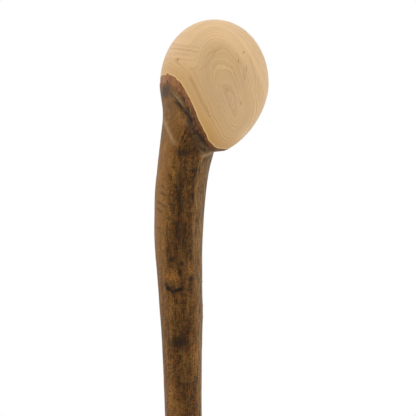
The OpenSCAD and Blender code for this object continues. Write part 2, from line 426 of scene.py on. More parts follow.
# Cracks and the short corky dashes: pixels along each one, half width in millimetres, depth
CRACKS = [
    ([(177, 103), (183, 110), (188.5, 116), (195, 127), (200, 137), (205, 143), (213, 149)],
     0.9, 1.0),
    ([(179, 90), (183.5, 97.5), (186, 104), (189, 113)], 0.7, 0.9),
    ([(171, 94), (176, 99), (181, 105)], 0.5, 0.5),
    ([(161.5, 185.5), (164.5, 187.8)], 0.4, 0.7),
    ([(161.5, 193), (166, 195.8)], 0.5, 0.8),
    ([(157.5, 202.5), (161.5, 203.5)], 0.4, 0.6),
    ([(161.5, 204), (166, 207)], 0.45, 0.7),
    ([(157.5, 208.5), (161.5, 212)], 0.45, 0.7),
    ([(157.5, 227), (160.5, 228.5)], 0.4, 0.5),
    ([(169.8, 175), (171.2, 178)], 0.6, 0.7),
    ([(190, 171), (200, 169.8)], 0.4, 0.6),
    ([(166, 284), (169, 289), (174, 292), (182, 288)], 0.9, 0.9),
]

# The boldest growth lines of the knob, in the same form as the cracks
GROWTH_LINES = [
    ([(190, 78), (196, 90), (202, 103), (210, 117)], 0.5, 0.75),
    ([(173, 49), (186, 50.5), (198, 53.5)], 0.35, 0.55),
    ([(177, 46.3), (199, 48.5)], 0.3, 0.35),
    ([(175, 53.5), (190, 55.8)], 0.3, 0.45),
    ([(236, 54), (241, 66)], 0.35, 0.4),
    ([(243, 68), (244.5, 80)], 0.4, 0.55),
    ([(250, 58), (254.5, 76), (256, 94)], 0.35, 0.4),
    ([(258, 78), (258.8, 100)], 0.3, 0.35),
    ([(199, 72), (207, 66), (213, 56), (222, 46)], 0.4, 0.3),
]

# Raised creases in the bark, their ridges also painted pale as a highlight: pixels of both ends, half
# width and lift in millimetres
CREASES = [
    ((163, 117), (175.5, 146), 0.9, 0.5),
    ((200, 157), (215, 151.5), 0.9, 0.5),
    ((173, 93), (184, 106), 0.6, 0.35),
]


def spot_field(points, spots):
    """Soft round marks on the photographed side of the stick."""
    total = np.zeros(points.shape[:-1])
    front = ease((4 - points[..., 1]) / 8)
    for px, py, half_w, half_h, depth in spots:
        across = (points[..., 0] - px_x(px)) / half_w
        gap = across ** 2 + ((points[..., 2] - px_z(py)) / half_h) ** 2
        total = np.maximum(total, depth * front * np.exp(-gap))
    return total


def stain_field(points, angle, z):
    """Soot and old weathering: the photographed side's marks, then round the knots below it."""
    total = spot_field(points, STAINS)
    for knot in KNOTS[:7]:
        gap = knot_gap(np.degrees(angle), z, knot, 1.1, 0.8)
        total = np.maximum(total, 0.9 * np.exp(-gap))
    return total


def knot_field(angle, z):
    """Distance from the nearest knot's middle, where 1 is the edge of its scar."""
    best = np.full(z.shape, 9.0)
    for knot in KNOTS:
        gap = knot_gap(np.degrees(angle), z, knot, 0.6, 0.75)
        best = np.minimum(best, np.sqrt(gap))
    return best


def stroke(points, start_px, end_px):
    """Distance from a short straight stroke on the photographed side, and the place along it."""
    start = np.array([px_x(start_px[0]), px_z(start_px[1])])
    run = np.array([px_x(end_px[0]), px_z(end_px[1])]) - start
    gap = points[..., [0, 2]] - start
    t = np.clip((gap @ run) / (run @ run), 0, 1)
    return np.sqrt(((gap - t[..., None] * run) ** 2).sum(-1)), t


def line_field(points, lines):
    """Thin marks along lines on the photographed side, from 0 to 1."""
    total = np.zeros(points.shape[:-1])
    front = ease((2 - points[..., 1]) / 6)
    for line, half_w, depth in lines:
        for start_px, end_px in zip(line, line[1:]):
            away, _ = stroke(points, start_px, end_px)
            total = np.maximum(total, depth * front * np.exp(-(away / half_w) ** 2))
    return total


def crease_field(points):
    """Raised folds of bark: their height at each point, in millimetres."""
    total = np.zeros(points.shape[:-1])
    front = ease((2 - points[..., 1]) / 6)
    for start_px, end_px, half_w, lift in CREASES:
        away, t = stroke(points, start_px, end_px)
        fade = np.sqrt(np.clip(4 * t * (1 - t), 0, 1))
        total = total + lift * fade * front * np.exp(-(away / half_w) ** 2)
    return total


# Growth rings of the knob are level lines of a field, round the eyes where the carving meets the
# layers flat. Outside the ring through the fork they open into layers and into lines by the bark
EYE_FRONT = np.array([px_x(229), -28.0, px_z(115)])
EYE_BACK = np.array([px_x(206), 27.0, px_z(72)])
FORK = np.array([px_x(199), -26.0, px_z(72)])
FORK_RING = 12.5


def eye_rings(points, eye, tall, lean):
    """Rings round an eye, drawn out upwards inside the fork's ring and evenly spaced outside it."""
    gap = points - eye
    rise = gap[..., 2]
    sideways = gap[..., 0] + lean * np.clip(rise, 0, 60)
    across = np.sqrt(sideways ** 2 + 0.4 * gap[..., 1] ** 2)
    stretch = 1.2 + (tall - 1.2) * ease((rise + 6) / 26)
    share = (across ** 2.5 + np.abs(rise / stretch) ** 2.5 + 1e-6) ** 0.4 / FORK_RING
    whole = np.sqrt(across ** 2 + rise ** 2)
    outside = FORK_RING + whole * (1 - 1 / np.maximum(share, 1))
    return np.where(share < 1, FORK_RING * share, outside)


def growth(points, from_edge):
    """Ring count at a point of the carved knob, in millimetres of growth."""
    fork_edge = distance_to_line(FORK[None, :], wood_edge_line)[0]
    upward = (points[..., 2] - FORK[2]) + 0.17 * (points[..., 0] - FORK[0])
    layers = FORK_RING + 0.9 * soft_max(upward, 0, 4)
    layers = layers + 1.5 * soft_max(points[..., 0] - FORK[0] - 2, 0, 4)
    front = eye_rings(points, EYE_FRONT, 3.1, 0.16)
    back = eye_rings(points, EYE_BACK, 2.0, -0.1) + 3
    rim = FORK_RING + (fork_edge - from_edge) * 1.1
    return soft_max(rim, soft_min(soft_min(front, back, 4), layers, 3), 2.5)


def feathered(thickness, edge, z):
    """Thickness of bark at a height, thinned to nothing at its carved edge."""
    return thickness * np.clip((edge - z) / feather_len, 0, 1)


def make_timber():
    """The stick's wood in one piece: pared spigot, plain shank under the bark, carved knob."""
    sides = 216
    angle = turns(sides)
    edge = edge_height(angle, 0.0, wood_torn)

    def face(z):
        return skin_point(angle, z, feathered(bark_t, edge, z))

    def round_ring(r, z):
        return np.stack([r * np.cos(angle), r * np.sin(angle), np.full(sides, z)], axis=-1)

    spigot_r = spigot_d / 2
    spigot_rows, lap_rows, crown_rows = 12, 44, 114
    rings = [
        round_ring(spigot_r - foot_chamfer, spigot_bottom),
        round_ring(spigot_r, spigot_bottom + foot_chamfer),
    ]
    rings += [round_ring(spigot_r, z) for z in np.linspace(spigot_bottom + 3, foot_z, spigot_rows)]
    stops = [(foot_z, 25), (up_swell(1), 12), (chin_z - chin_lip, 1)]
    rings += [face(np.full(sides, z)) for z in levels(stops)]
    rings += [face(row) for row in lap_heights(edge, lap_rows)]
    crown = np.sin(np.linspace(0, math.pi / 2, crown_rows + 2))[1:-1]
    rings += [face(edge + (stick_top - edge) * share) for share in crown]
    rings = np.array(rings)
    ends = [(0, 0, spigot_bottom), (knob_off, 0, stick_top)]
    piece = ring_mesh("carved_knob_stick", rings, ends)
    points = np.vstack([rings.reshape(-1, 3), *ends])
    near = points[:, 2] > chin_z - 5
    from_edge = np.zeros(len(points))
    from_edge[near] = distance_to_line(points[near], wood_edge_line)
    field = np.zeros(len(points))
    field[near] = growth(points[near], from_edge[near])
    keep(piece, "from_edge", from_edge)
    keep(piece, "growth", field)
    keep(piece, "streak", line_field(points, GROWTH_LINES))
    return piece


def bark_shell(name, sides, stops, lap_rows, drop, torn, depth, cover=None):
    """Closed sleeve of bark: fine rings up its skin, then coarse rings down its underside, which
    is at a depth below the stick's skin. A cover is the carved edge of the bark that lies on it."""
    angle = turns(sides)
    edge = edge_height(angle, drop, torn)
    fine = [np.full(sides, z) for z in levels(stops)] + list(lap_heights(edge, lap_rows))
    coarse = [np.full(sides, z) for z in levels([(foot_z, 22), (chin_z - chin_lip, 1)])]
    coarse += list(lap_heights(edge, 16)[:-1])
    if cover is None:
        rings = [skin_point(angle, z) for z in fine]
    else:
        rings = [skin_point(angle, z, feathered(outer_bark_t, cover, z)) for z in fine]
    rings += [skin_point(angle, z, feathered(depth, edge, z)) for z in coarse[::-1]]
    rings = np.array(rings)
    piece = ring_mesh(name, rings)
    heights = np.array(fine + coarse[::-1])
    spread = np.broadcast_to(angle, heights.shape)
    keep(piece, "place", stick_place(spread, heights))
    keep(piece, "on_skin", np.repeat([1.0, 0.0], [len(fine) * sides, len(coarse) * sides]))
    below = np.full(heights.shape, 200.0)
    near = heights > chin_z - 60
    below[near] = distance_to_line(rings[near], bark_edge_line)
    keep(piece, "from_edge", below)
    return piece, rings, spread, heights


def make_outer_bark():
    stops = [(foot_z, 2.0), (close_up, 1.1), (waist_z, 0.72), (chin_z - chin_lip, 1)]
    piece, rings, spread, heights = bark_shell(
        "outer_bark_sleeve", 120, stops, 58, bare_band, bark_torn, outer_bark_t)
    keep(piece, "knot", knot_field(spread, heights))
    keep(piece, "stain", stain_field(rings, spread, heights))
    keep(piece, "worn", spot_field(rings, WORN))
    keep(piece, "crease", crease_field(rings))
    keep(piece, "split", line_field(rings, CRACKS))
    return piece


def make_inner_bark():
    sides = 216
    stops = [(foot_z, 22), (chin_z - 12, 1.5), (chin_z - chin_lip, 1)]
    fine_turns = turns(1440)
    outer_edge = edge_height(fine_turns, bare_band, bark_torn)
    cover = np.interp(turns(sides), fine_turns, outer_edge)
    return bark_shell("inner_bark_rim", sides, stops, 70, 0.0, wood_torn, bark_t, cover)[0]


class Nodes:
    """Short calls for building a node tree."""

    def __init__(self, tree):
        self.tree = tree

    def add(self, kind, inputs=None, **settings):
        node = self.tree.nodes.new(kind)
        for name, value in settings.items():
            setattr(node, name, value)
        for socket, value in (inputs or {}).items():
            self.feed(node.inputs[socket], value)
        return node

    def feed(self, socket, value):
        if isinstance(value, bpy.types.NodeSocket):
            self.tree.links.new(value, socket)
        else:
            socket.default_value = value

    def math(self, operation, a, b=0.0):
        return self.add("ShaderNodeMath", {0: a, 1: b}, operation=operation).outputs[0]

    def plus(self, a, b):
        return self.math("ADD", a, b)

    def minus(self, a, b):
        return self.math("SUBTRACT", a, b)

    def times(self, a, b):
        return self.math("MULTIPLY", a, b)

    def over(self, a, b):
        return self.math("DIVIDE", a, b)

    def most(self, a, b):
        return self.math("MAXIMUM", a, b)

    def slope(self, value, gain, start):
        return self.plus(self.times(value, gain), start)

    def total(self, *parts):
        """Sum of values, each given with its weight."""
        result = self.times(*parts[0])
        for part in parts[1:]:
            result = self.plus(result, self.times(*part))
        return result

    def vector(self, operation, a, b):
        return self.add("ShaderNodeVectorMath", {0: a, 1: b}, operation=operation).outputs[0]

    def scaled(self, vector, factor):
        node = self.add("ShaderNodeVectorMath", {0: vector, "Scale": factor}, operation="SCALE")
        return node.outputs[0]

    def combine(self, x, y, z):
        return self.add("ShaderNodeCombineXYZ", {0: x, 1: y, 2: z}).outputs[0]

    def split(self, vector):
        return self.add("ShaderNodeSeparateXYZ", {0: vector}).outputs

    def between(self, value, low, high):
        """0 at low and 1 at high, and smooth in between."""
        ranges = {0: value, 1: low, 2: high, 3: 0.0, 4: 1.0}
        return self.add("ShaderNodeMapRange", ranges, interpolation_type="SMOOTHSTEP").outputs[0]

    def noise(self, place, scale=1.0, detail=2.0, rough=0.5):
        inputs = {"Vector": place, "Scale": scale, "Detail": detail, "Roughness": rough}
        return self.add("ShaderNodeTexNoise", inputs).outputs[0]

    def line_noise(self, value, scale=1.0, detail=2.0, rough=0.5):
        inputs = {"W": value, "Scale": scale, "Detail": detail, "Roughness": rough}
        return self.add("ShaderNodeTexNoise", inputs, noise_dimensions="1D").outputs[0]

    def mix(self, factor, a, b):
        node = self.add("ShaderNodeMix", data_type="RGBA")
        for socket, value in ((0, factor), (6, a), (7, b)):
            self.feed(node.inputs[socket], value)
        return node.outputs[2]

    def layered(self, base, layers):
        """Lays colours over a base: each is a screen colour, its mask and how much of it shows."""
        for colour, mask, share in layers:
            base = self.mix(self.times(mask, share), base, rgb(*colour))
        return base

    def ramp(self, value, stops):
        node = self.add("ShaderNodeValToRGB", {0: value})
        band = node.color_ramp
        while len(band.elements) < len(stops):
            band.elements.new(0.5)
        for element, (place, colour) in zip(band.elements, stops):
            element.position = place
            element.color = rgb(*colour)
        return node.outputs[0]

    def attribute(self, name, output="Fac"):
        """What keep() stored on the mesh, in a material."""
        return self.add("ShaderNodeAttribute", attribute_name=name).outputs[output]

    def stored(self, name, kind="FLOAT"):
        """What keep() stored on the mesh, in a geometry tree."""
        node = self.add("GeometryNodeInputNamedAttribute", {"Name": name}, data_type=kind)
        return node.outputs["Attribute"]

    def object_mm(self):
        return self.scaled(self.add("ShaderNodeTexCoord").outputs["Object"], 1 / MM)

    def grouped(self, tree, **inputs):
        return self.add("ShaderNodeGroup", inputs, node_tree=tree).outputs

    def squeeze(self, place, width, length):
        """Place drawn out along z, for a grain of that width and length."""
        across = self.over(1.0, width)
        return self.vector("MULTIPLY", place, self.combine(across, across, self.over(1.0, length)))

    def rays(self):
        """1 for rays from the camera, and 1 for rays by way of a mirror or glass."""
        light = self.add("ShaderNodeLightPath").outputs
        mirrored = self.most(light["Is Glossy Ray"], light["Is Transmission Ray"])
        return light["Is Camera Ray"], mirrored


def rgb(red, green, blue):
    """A colour as it looks on a screen, from 0 to 255, in the linear form that Blender takes."""
    def linear(value):
        value = value / 255
        return value / 12.92 if value <= 0.04045 else ((value + 0.055) / 1.055) ** 2.4
    return (linear(red), linear(green), linear(blue), 1.0)


def emptied(owner):
    """Clears the nodes of a material or world, to build new ones."""
    owner.use_nodes = True
    owner.node_tree.nodes.clear()
    return Nodes(owner.node_tree)


def new_group(name, kind, inputs, outputs):
    """Empty node group with named sockets. Each input has its default, or else its kind."""
    kinds = {float: "NodeSocketFloat", int: "NodeSocketInt", tuple: "NodeSocketVector"}
    tree = bpy.data.node_groups.new(name, kind)
    add_socket = tree.interface.new_socket
    for label, value in inputs.items():
        if isinstance(value, str):
            add_socket(label, in_out="INPUT", socket_type=value)
        else:
            made = add_socket(label, in_out="INPUT", socket_type=kinds[type(value)])
            made.default_value = value
    for label, value in outputs.items():
        add_socket(label, in_out="OUTPUT", socket_type=value)
    n = Nodes(tree)
    return tree, n, n.add("NodeGroupInput").outputs, n.add("NodeGroupOutput").inputs


def fibre_group():
    """Long grain: streaks that run along z, with fine fibres in broad bands."""
    inputs = {"Place": (0.0, 0.0, 0.0), "Width": 1.0, "Length": 12.0, "Waver": 0.6}
    outputs = {"Fine": "NodeSocketFloat", "Broad": "NodeSocketFloat"}
    tree, n, ins, outs = new_group("long_grain", "ShaderNodeTree", inputs, outputs)
    waver = n.noise(ins["Place"], 0.12)
    sway = n.times(n.minus(waver, 0.5), ins["Waver"])
    place = n.vector("ADD", ins["Place"], n.combine(sway, sway, 0.0))
    drawn = n.squeeze(place, ins["Width"], ins["Length"])
    n.feed(outs["Fine"], n.noise(drawn, detail=4.0, rough=0.6))
    n.feed(outs["Broad"], n.noise(drawn, 0.23, detail=3.0))
    return tree


def speckle_group():
    """Small pores and flecks, as a mask from 0 to 1."""
    inputs = {"Place": (0.0, 0.0, 0.0), "Size": 1.0, "Amount": 0.3}
    outputs = {"Mask": "NodeSocketFloat"}
    tree, n, ins, outs = new_group("pores", "ShaderNodeTree", inputs, outputs)
    spots = n.noise(ins["Place"], n.over(1.0, ins["Size"]), detail=1.0)
    low = n.minus(0.78, n.times(ins["Amount"], 0.3))
    n.feed(outs["Mask"], n.between(spots, low, n.plus(low, 0.1)))
    return tree


LONG_GRAIN = fibre_group()
PORES = speckle_group()


def new_material(name, roughness=0.5, specular=0.5):
    material = bpy.data.materials.new(name)
    n = emptied(material)
    finish = {"Roughness": roughness, "Specular IOR Level": specular}
    surface = n.add("ShaderNodeBsdfPrincipled", finish)
    n.add("ShaderNodeOutputMaterial", {"Surface": surface.outputs[0]})
    return material, n, surface


def paint(n, surface, colour, height, strength, depth):
    """Gives a surface its colour, and the fine relief of its grain with its depth in millimetres."""
    n.feed(surface.inputs["Base Color"], colour)
    relief = {"Strength": strength, "Distance": depth * MM, "Height": height}
    n.feed(surface.inputs["Normal"], n.add("ShaderNodeBump", relief).outputs[0])


def knob_wood():
    """Pale root wood under satin varnish: fine growth lines, golden by the bark and darker there with
    painted shade towards the chin, pink at the back.
    """
    material, n, surface = new_material("knob_wood", specular=0.3)
    place = n.object_mm()
    x, y, z = n.split(place)
    from_edge = n.attribute("from_edge")
    wander = n.minus(n.noise(place, 0.07, detail=3.0), 0.5)
    ripple = n.minus(n.noise(place, 0.35), 0.5)
    field = n.total((n.attribute("growth"), 1.0), (wander, 2.6), (ripple, 1.1))
    fine = n.line_noise(field, 0.85, detail=3.0, rough=0.62)
    broad = n.line_noise(field, 0.13, detail=1.0)
    fade = n.between(n.noise(place, 0.06), 0.35, 0.62)
    rings = n.times(n.between(fine, 0.42, 0.68), n.slope(fade, 0.6, 0.4))
    base = n.mix(n.between(broad, 0.35, 0.65), rgb(226, 189, 137), rgb(214, 177, 127))
    mottle = n.between(n.noise(place, 0.045), 0.35, 0.7)
    back = n.times(n.between(z, px_z(80), px_z(30)), n.between(x, px_x(215), px_x(165)))
    # Golden tone by the bark: partly the wood's own colour and partly painted shade, heavier towards
    # the chin where the knob curves under
    lower = n.between(z, px_z(95), px_z(140))
    gold_and_shade = n.times(n.between(from_edge, 15.0, 1.5), n.slope(lower, 0.35, 0.65))
    hair = n.between(n.line_noise(field, 2.6), 0.45, 0.75)
    fibres = n.grouped(LONG_GRAIN, Place=place, Width=0.5, Length=4.0, Waver=1.0)["Fine"]
    pores = n.grouped(PORES, Place=place, Size=0.45, Amount=0.25)["Mask"]
    layers = [
        ((216, 182, 140), mottle, 0.5),
        ((228, 188, 148), back, 0.55),
        ((203, 157, 92), gold_and_shade, 1.0),
        ((234, 194, 124), n.between(from_edge, 1.3, 0.3), 0.8),
        ((166, 118, 70), rings, 0.36),
        ((158, 108, 60), n.attribute("streak"), 0.6),
        ((150, 104, 62), hair, 0.14),
        ((176, 136, 90), n.between(fibres, 0.45, 0.75), 0.22),
        ((128, 88, 50), pores, 0.25),
    ]
    for px, py, half_w, half_h, depth in KNOB_FLECKS:
        across = n.over(n.minus(x, px_x(px)), half_w)
        upward = n.over(n.minus(z, px_z(py)), half_h)
        gap = n.plus(n.times(across, across), n.times(upward, upward))
        fleck = n.times(n.between(gap, 1.6, 0.3), n.between(y, 0.0, -4.0))
        layers.append(((112, 74, 44), fleck, depth))
    n.feed(surface.inputs["Roughness"], n.slope(n.noise(place, 0.2), 0.14, 0.36))
    grain = n.total((rings, -0.6), (fibres, 0.5))
    paint(n, surface, n.layered(base, layers), grain, 0.25, 0.04)
    return material


def varnished_bark():
    """Streaked bark under thin varnish: golden on its left side with painted light there too, a
    painted reflection at its right edge, painted shade down the middle of its front, dark in its
    cracks and sooty round its knots.
    """
    material, n, surface = new_material("varnished_bark", specular=0.15)
    dark, middle, light = (52, 32, 9), (94, 62, 23), (140, 99, 47)
    place = n.attribute("place", "Vector")
    x, y, z = n.split(place)
    from_edge = n.attribute("from_edge")
    streaks = n.grouped(LONG_GRAIN, Place=place, Width=0.6, Length=7.0, Waver=1.5)
    speckle = n.noise(place, 0.95, detail=3.0, rough=0.65)
    wrinkle = n.noise(n.vector("MULTIPLY", place, (0.3, 0.3, 1.5)))
    blotch = n.noise(place, 0.16, detail=4.0, rough=0.6)
    patches = n.noise(place, 0.45, detail=3.0)
    tone = n.total(
        (streaks["Fine"], 0.3), (streaks["Broad"], 0.2), (speckle, 0.26),
        (wrinkle, 0.1), (blotch, 0.14), (n.attribute("relief"), 0.12))
    base = n.ramp(tone, [(0.43, dark), (0.5, middle), (0.57, light)])
    # Golden strip down the left side: the bark's own tone and painted light from the left together,
    # more of it higher up and less just under the knob
    upper = n.between(z, px_z(290), px_z(215))
    below_neck = n.slope(n.between(z, px_z(125), px_z(160)), 0.5, 0.5)
    height_share = n.slope(n.times(upper, below_neck), 0.45, 0.15)
    left_tone_and_light = n.times(n.between(x, -4.5, -10.0), height_share)
    # Painted reflection: paler streaks down the right edge, standing in for the varnish reflecting
    # the light there
    right = n.times(n.between(x, 6.5, 9.5), n.between(streaks["Fine"], 0.35, 0.6))
    # Painted shade: the middle of the stick's front darkened, where the dim front lights it least
    centre = n.between(n.math("ABSOLUTE", n.minus(x, 1.6)), 7.5, 2.0)
    worn = n.times(n.attribute("worn"), n.between(speckle, 0.35, 0.55))
    stain = n.total(
        (n.attribute("stain"), 1.0), (n.minus(blotch, 0.5), 0.9), (n.minus(speckle, 0.5), 0.9))
    near = n.times(n.between(from_edge, 9.0, 4.0), n.between(from_edge, 0.0, 1.5))
    base = n.layered(base, [
        ((156, 110, 54), left_tone_and_light, 1.0),
        # Painted reflection streaks at the right edge
        ((160, 126, 82), right, 0.5),
        # Painted shade down the middle of the front
        (dark, n.times(centre, n.between(y, 0.0, -5.0)), 0.35),
        ((166, 112, 50), worn, 1.0),
        ((124, 70, 22), n.between(patches, 0.5, 0.66), 0.5),
        ((40, 27, 18), n.between(stain, 0.3, 0.85), 0.8),
        ((92, 72, 52), n.times(near, n.between(patches, 0.3, 0.55)), 0.6),
        ((46, 34, 24), n.between(n.attribute("crack"), 0.3, 0.8), 1.0),
        # Painted highlight: the creases' ridges painted pale
        ((178, 148, 110), n.attribute("crease"), 1.1),
        ((34, 24, 17), n.attribute("split"), 0.9),
    ])
    paint(n, surface, base, n.total((streaks["Fine"], 1.0), (speckle, 0.6)), 0.4, 0.12)
    return material


def inner_bark_material():
    material, n, surface = new_material("inner_bark", specular=0.22)
    place = n.attribute("place", "Vector")
    streaks = n.grouped(LONG_GRAIN, Place=place, Width=0.8, Length=5.0, Waver=1.5)
    tone = n.total((streaks["Fine"], 0.6), (streaks["Broad"], 0.4))
    base = n.ramp(tone, [(0.36, (90, 50, 26)), (0.5, (142, 92, 52)), (0.64, (178, 120, 68))])
    # Painted shade: the inner bark darkened towards the chin, under the knob's overhang
    low = n.between(n.split(place)[2], px_z(88), px_z(118))
    base = n.layered(base, [((98, 54, 26), low, 0.65)])
    paint(n, surface, base, tone, 0.5, 0.12)
    return material


def moulded_rubber():
    material, n, surface = new_material("moulded_rubber", 0.62, specular=0.35)
    place = n.object_mm()
    dust = n.between(n.noise(place, 0.16, detail=4.0), 0.5, 0.75)
    low = n.between(n.split(place)[2], 6.0, 0.5)
    base = n.mix(n.total((dust, 0.4), (low, 0.25)), rgb(38, 38, 39), rgb(92, 88, 82))
    paint(n, surface, base, n.noise(place, 1.6, detail=3.0), 0.3, 0.06)
    return material


def zinc_plate():
    material, n, surface = new_material("zinc_plate")
    surface.inputs["Metallic"].default_value = 1.0
    cloud = n.noise(n.object_mm(), 0.5, detail=3.0)
    n.feed(surface.inputs["Base Color"], n.mix(cloud, rgb(168, 170, 172), rgb(196, 196, 194)))
    n.feed(surface.inputs["Roughness"], n.slope(cloud, 0.25, 0.28))
    return material


def run_nodes(piece, tree, values):
    """Runs a node tree on a piece, and leaves the piece a plain mesh."""
    modifier = piece.modifiers.new(tree.name, "NODES")
    modifier.node_group = tree
    sockets = {item.name: item.identifier for item in tree.interface.items_tree
               if item.item_type == "SOCKET" and item.in_out == "INPUT"}
    for name, value in values.items():
        modifier[sockets[name]] = value
    bpy.context.view_layer.update()
    graph = bpy.context.evaluated_depsgraph_get()
    mesh = bpy.data.meshes.new_from_object(
        piece.evaluated_get(graph), preserve_all_data_layers=True, depsgraph=graph)
    piece.modifiers.remove(modifier)
    old = piece.data
    piece.data = mesh
    mesh.name = piece.name
    bpy.data.meshes.remove(old)
    return piece


def geometry_group(name, inputs):
    """Group that changes or makes geometry, with a material beside its own named inputs."""
    outputs = {"Geometry": "NodeSocketGeometry"}
    inputs = {**outputs, **inputs, "Material": "NodeSocketMaterial"}
    return new_group(name, "GeometryNodeTree", inputs, outputs)


def end_geometry(n, ins, outs, geometry):
    """Makes instances real, shades the faces smooth and sets the material."""
    whole = n.add("GeometryNodeRealizeInstances", {"Geometry": geometry})
    smooth = n.add("GeometryNodeSetShadeSmooth", {"Geometry": whole.outputs[0]})
    dressed = {"Geometry": smooth.outputs[0], "Material": ins["Material"]}
    n.feed(outs["Geometry"], n.add("GeometryNodeSetMaterial", dressed).outputs[0])


def relief_tree():
    """Bark relief: long ridges, cross wrinkles, cracks by the carved edge, knot scars, folds."""
    tree, n, ins, outs = geometry_group("bark_relief", {
        "Ridge Width": 1.5,
        "Ridge Length": 16.0,
        "Ridge Depth": 0.16,
        "Swell Depth": 0.3,
        "Wrinkle Depth": 0.1,
        "Crack Depth": 0.45,
        "Scar Depth": 0.35,
        "Seed": 3.0,
    })

    def centred(value):
        return n.minus(value, 0.5)

    unbent = n.stored("place", "FLOAT_VECTOR")
    place = n.vector("ADD", unbent, n.scaled((7.0, 3.0, 5.0), ins["Seed"]))
    from_edge = n.stored("from_edge")
    drawn = n.squeeze(place, ins["Ridge Width"], ins["Ridge Length"])
    ridges = centred(n.noise(drawn, detail=3.0, rough=0.6))
    swell = centred(n.noise(n.vector("MULTIPLY", place, (0.14, 0.14, 0.05)), detail=3.0))
    wrinkles = centred(n.noise(n.vector("MULTIPLY", place, (0.16, 0.16, 0.75))))
    some = n.between(n.noise(place, 0.05, detail=1.0), 0.42, 0.6)
    wrinkles = n.times(n.times(wrinkles, some), ins["Wrinkle Depth"])
    band = n.times(n.between(from_edge, 15.0, 7.0), n.between(from_edge, 0.4, 2.0))
    bent = n.plus(n.times(from_edge, 0.62), n.noise(place, 0.14, detail=3.0))
    crack = n.between(n.line_noise(n.plus(n.times(bent, 1.4), ins["Seed"])), 0.5, 0.66)
    gate = n.between(n.noise(place, 0.22), 0.38, 0.58)
    crack = n.times(crack, n.times(band, gate))
    knot = n.stored("knot")
    wave = n.math("SINE", n.times(knot, 9.0))
    scar = n.times(n.between(knot, 1.6, 0.7), n.slope(wave, 0.35, -0.15))
    pit = n.times(n.between(knot, 0.55, 0.1), -0.9)
    crack_depth = n.times(ins["Crack Depth"], -1.0)
    height = n.total(
        (ridges, n.times(ins["Ridge Depth"], 2.0)),
        (swell, n.times(ins["Swell Depth"], 2.0)),
        (wrinkles, 2.0),
        (crack, crack_depth),
        (n.plus(scar, pit), ins["Scar Depth"]),
        (n.stored("crease"), 1.0),
        (n.stored("split"), crack_depth))
    edge_fade = n.times(n.between(from_edge, 0.0, 1.6), n.stored("on_skin"))
    foot_fade = n.between(n.split(unbent)[2], foot_z, foot_z + 4.0)
    height = n.times(n.times(height, edge_fade), foot_fade)
    normal = n.add("GeometryNodeInputNormal").outputs[0]
    offset = n.scaled(normal, n.times(height, MM))
    node = n.add("GeometryNodeSetPosition", {"Geometry": ins["Geometry"], "Offset": offset})
    for name, value in (("relief", height), ("crack", crack)):
        stored = {"Geometry": node.outputs[0], "Name": name, "Value": value}
        node = n.add("GeometryNodeStoreNamedAttribute", stored)
    end_geometry(n, ins, outs, node.outputs[0])
    return tree


def lathe_tree():
    """Turns an outline in x and z round the z axis, and repeats it up the axis."""
    tree, n, ins, outs = geometry_group("turned_ring", {
        "Outline Points": 8,
        "Steps": 96,
        "Copies": 1,
        "Pitch": 0.004,
    })
    columns = n.plus(ins["Outline Points"], 1.0)
    rows = n.plus(ins["Steps"], 1.0)
    grid = n.add("GeometryNodeMeshGrid", {"Vertices X": rows, "Vertices Y": columns})
    index = n.add("GeometryNodeInputIndex").outputs[0]
    turn = n.math("FLOOR", n.over(n.plus(index, 0.5), columns))
    step = n.minus(index, n.times(turn, columns))
    step = n.math("FLOORED_MODULO", step, ins["Outline Points"])
    position = n.add("GeometryNodeInputPosition").outputs[0]
    point = {"Geometry": ins["Geometry"], "Value": position, "Index": step}
    sample = n.add("GeometryNodeSampleIndex", point, data_type="FLOAT_VECTOR")
    radius, _, height = n.split(sample.outputs[0])
    angle = n.times(n.over(turn, ins["Steps"]), math.tau)
    x = n.times(radius, n.math("COSINE", angle))
    y = n.times(radius, n.math("SINE", angle))
    place = n.combine(x, y, height)
    bent = n.add("GeometryNodeSetPosition", {"Geometry": grid.outputs[0], "Position": place})
    welded = {"Geometry": bent.outputs[0], "Distance": 1e-6}
    merged = n.add("GeometryNodeMergeByDistance", welded)
    rise = n.combine(0.0, 0.0, ins["Pitch"])
    line = n.add("GeometryNodeMeshLine", {"Count": ins["Copies"], "Offset": rise})
    spread = {"Points": line.outputs[0], "Instance": merged.outputs[0]}
    copies = n.add("GeometryNodeInstanceOnPoints", spread)
    end_geometry(n, ins, outs, copies.outputs[0])
    return tree


